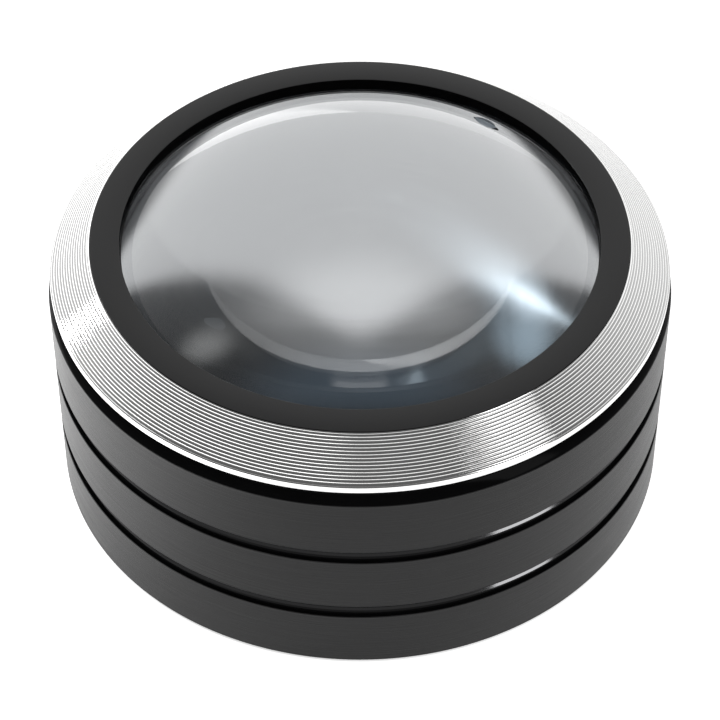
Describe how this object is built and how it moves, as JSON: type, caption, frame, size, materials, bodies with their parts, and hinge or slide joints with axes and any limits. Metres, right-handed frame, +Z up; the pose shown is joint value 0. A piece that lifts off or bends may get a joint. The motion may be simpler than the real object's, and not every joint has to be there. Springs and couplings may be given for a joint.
{
  "type": "low vision stand magnifier",
  "caption": "Round metal stand magnifier with a large domed lens, a ridged silver bezel, grooved black sides and lamps inside.",
  "frame": {"origin": "centre of the underside, where the foot pads rest on the page", "axes": "+Z up along the lens's axis; +Y towards the back, where the battery door is; +X to the right"},
  "size_m": [0.09, 0.09, 0.0495],
  "materials": {
    "black_anodised": "fine-turned, black anodised",
    "gloss_black": "smooth gloss black",
    "bare_aluminium": "bright turned with fine concentric ridges",
    "satin_black": "satin black",
    "clear_lens": "polished clear",
    "black_rubber": "matt black",
    "plated_steel": "plated",
    "turned_sleeve": "satin turned",
    "board_green": "solder-masked board",
    "lamp_clear": "clear moulded lamp",
    "gold_brass": "gold plated",
    "cell_steel": "plain nickel-plated",
    "red_sleeving": "plain",
    "black_sleeving": "plain"
  },
  "bodies": {
    "magnifier": {"body_shell": "black_anodised", "insulating_ring": "gloss_black", "bezel": "bare_aluminium", "trim_ring": "satin_black", "lens": "clear_lens", "lens_gasket": "black_rubber", "lens_carrier": "satin_black", "bezel_screws": "plated_steel", "inner_sleeve": "turned_sleeve", "led_board": "board_green", "board_screws": "plated_steel", "led_1": "lamp_clear", "led_2": "lamp_clear", "led_3": "lamp_clear", "led_resistors": "gloss_black", "touch_chip": "gloss_black", "touch_pin": "gold_brass", "base_ring": "satin_black", "base_screws": "plated_steel", "foot_pads": "black_rubber", "battery_holder": "satin_black", "cell_1": "cell_steel", "cell_2": "cell_steel", "cell_3": "cell_steel", "contact_positive": "plated_steel", "contact_negative": "plated_steel", "contact_links": "plated_steel", "lead_positive": "red_sleeving", "lead_negative": "black_sleeving"},
    "battery_door": {"battery_door": "satin_black", "door_cushion": "black_rubber"},
    "door_screw_1": {"door_screw_1": "plated_steel"},
    "door_screw_2": {"door_screw_2": "plated_steel"}
  },
  "joints": [
    {"name": "battery_door_lift", "type": "slide", "parent": "magnifier", "child": "battery_door", "axis": [0, 0, -1], "range_m": [0, 0.04]},
    {"name": "door_screw_1_turn", "type": "hinge", "parent": "battery_door", "child": "door_screw_1", "pos_m": [-0.02025, 0.03345, 0], "axis": [0, 0, 1], "continuous": true},
    {"name": "door_screw_2_turn", "type": "hinge", "parent": "battery_door", "child": "door_screw_2", "pos_m": [0.02025, 0.03345, 0], "axis": [0, 0, 1], "continuous": true}
  ]
}
